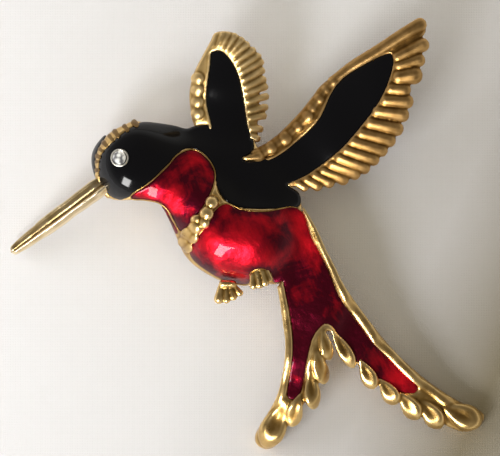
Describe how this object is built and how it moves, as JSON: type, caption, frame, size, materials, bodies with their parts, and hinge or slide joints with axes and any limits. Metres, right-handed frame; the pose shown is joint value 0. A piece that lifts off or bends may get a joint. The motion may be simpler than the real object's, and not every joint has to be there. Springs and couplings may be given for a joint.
{
  "type": "hummingbird brooch",
  "caption": "Flying hummingbird brooch: gold-tone casting with glossy black and translucent red enamel, a stone eye, beaded edges, feathered wings and a forked tail.",
  "frame": {"origin": "under the middle of the brooch's outline, on the plane that it lies on", "axes": "+X points from the beak to the tail's right fork, +Y towards the wing tips, +Z out of the brooch's face, away from the cloth"},
  "size_m": [0.0666, 0.0606, 0.0123],
  "materials": {
    "gold": "antiqued gold-tone plating, polished on the high parts",
    "black_enamel": "glossy domed enamel",
    "red_enamel": "glossy translucent red enamel over brushed metal",
    "stone": "clear faceted rhinestone, foiled below",
    "pin_steel": "plated steel wire and bar"
  },
  "bodies": {
    "root": {"metal_casting": "gold", "black_enamel": "black_enamel", "far_head_enamel": "black_enamel", "throat_enamel": "red_enamel", "belly_tail_enamel": "red_enamel", "eye_stone": "stone", "pin_back": "pin_steel"}
  },
  "joints": []
}
